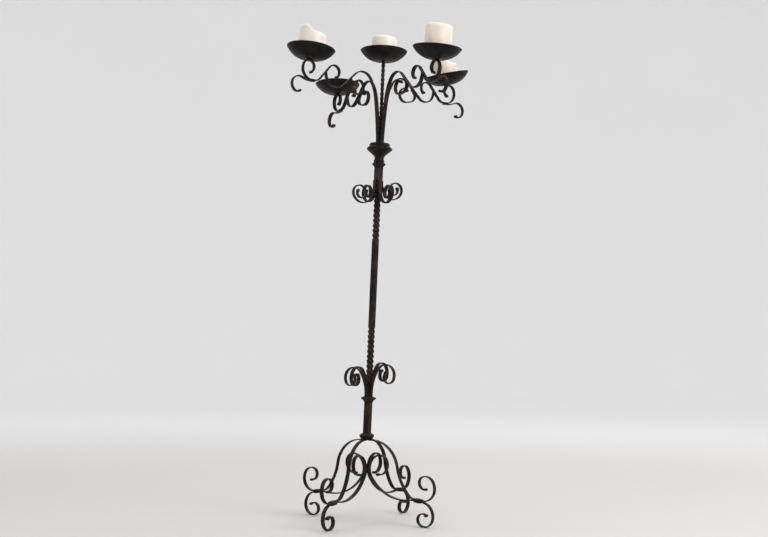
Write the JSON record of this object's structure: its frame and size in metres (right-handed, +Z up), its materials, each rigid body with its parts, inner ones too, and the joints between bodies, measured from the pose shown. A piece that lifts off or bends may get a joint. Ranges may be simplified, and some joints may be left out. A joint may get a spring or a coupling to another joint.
{
  "type": "candelabra",
  "caption": "Wrought-iron floor candelabra: scroll legs, a partly twisted leaning stem, and curled arms carrying shallow pricket dishes with pillar candles.",
  "frame": {"origin": "middle of the whole outline in plan, on the floor the feet stand on", "axes": "+Z up, +X to the right and +Y to the back as seen from the front"},
  "size_m": [0.4392, 0.4614, 1.1645],
  "materials": {
    "bar_iron": "black-brown lacquer over hand-forged bar, satin, worn to brown on the edges",
    "sheet_iron": "black-brown lacquer over raised sheet iron, satin",
    "turned_iron": "dark waxed iron with a brown cast",
    "wax": "ivory paraffin wax, soft sheen",
    "wick": "burnt cotton wick"
  },
  "bodies": {
    "stand": {"arm_bar_back_left": "bar_iron", "arm_bar_back_right": "bar_iron", "arm_bar_front_left": "bar_iron", "arm_bar_front_right": "bar_iron", "arm_loop_back_left": "bar_iron", "arm_loop_back_right": "bar_iron", "arm_loop_front_left": "bar_iron", "arm_loop_front_right": "bar_iron", "arm_s_scroll_back_left": "bar_iron", "arm_s_scroll_back_right": "bar_iron", "arm_s_scroll_front_left": "bar_iron", "arm_s_scroll_front_right": "bar_iron", "arm_tail_back_left": "bar_iron", "arm_tail_back_right": "bar_iron", "arm_tail_front_left": "bar_iron", "arm_tail_front_right": "bar_iron", "centre_rod": "bar_iron", "dish_back_left": "sheet_iron", "dish_back_right": "sheet_iron", "dish_centre": "sheet_iron", "dish_front_left": "sheet_iron", "dish_front_right": "sheet_iron", "hub_ring": "turned_iron", "leg_bar_back_left": "bar_iron", "leg_bar_back_right": "bar_iron", "leg_bar_front_left": "bar_iron", "leg_bar_front_right": "bar_iron", "leg_collar_back_left": "bar_iron", "leg_collar_back_right": "bar_iron", "leg_collar_front_left": "bar_iron", "leg_collar_front_right": "bar_iron", "leg_scroll_back_left": "bar_iron", "leg_scroll_back_right": "bar_iron", "leg_scroll_front_left": "bar_iron", "leg_scroll_front_right": "bar_iron", "lower_ring": "turned_iron", "lower_scroll_back_left": "bar_iron", "lower_scroll_back_right": "bar_iron", "lower_scroll_front_left": "bar_iron", "lower_scroll_front_right": "bar_iron", "lower_sleeve": "bar_iron", "prickets": "bar_iron", "stem_bar": "bar_iron", "stem_cup": "turned_iron", "upper_ring": "turned_iron", "upper_scroll_back_left": "bar_iron", "upper_scroll_back_right": "bar_iron", "upper_scroll_front_left": "bar_iron", "upper_scroll_front_right": "bar_iron", "upper_sleeve": "bar_iron"},
    "candle_front_left": {"candle_front_left": "wax", "wick_front_left": "wick"},
    "candle_front_right": {"candle_front_right": "wax", "wick_front_right": "wick"},
    "candle_back_right": {"candle_back_right": "wax", "wick_back_right": "wick"},
    "candle_centre": {"candle_centre": "wax", "wick_centre": "wick"}
  },
  "joints": [
    {"name": "lift_candle_front_left", "type": "slide", "parent": "stand", "child": "candle_front_left", "axis": [0.1139, 0.0512, 0.9922], "range_m": [0, 0.04]},
    {"name": "lift_candle_front_right", "type": "slide", "parent": "stand", "child": "candle_front_right", "axis": [0.0946, -0.0705, 0.993], "range_m": [0, 0.04]},
    {"name": "lift_candle_back_right", "type": "slide", "parent": "stand", "child": "candle_back_right", "axis": [-0.1747, -0.141, 0.9745], "range_m": [0, 0.04]},
    {"name": "lift_candle_centre", "type": "slide", "parent": "stand", "child": "candle_centre", "axis": [0.0436, 0, 0.999], "range_m": [0, 0.04]}
  ]
}
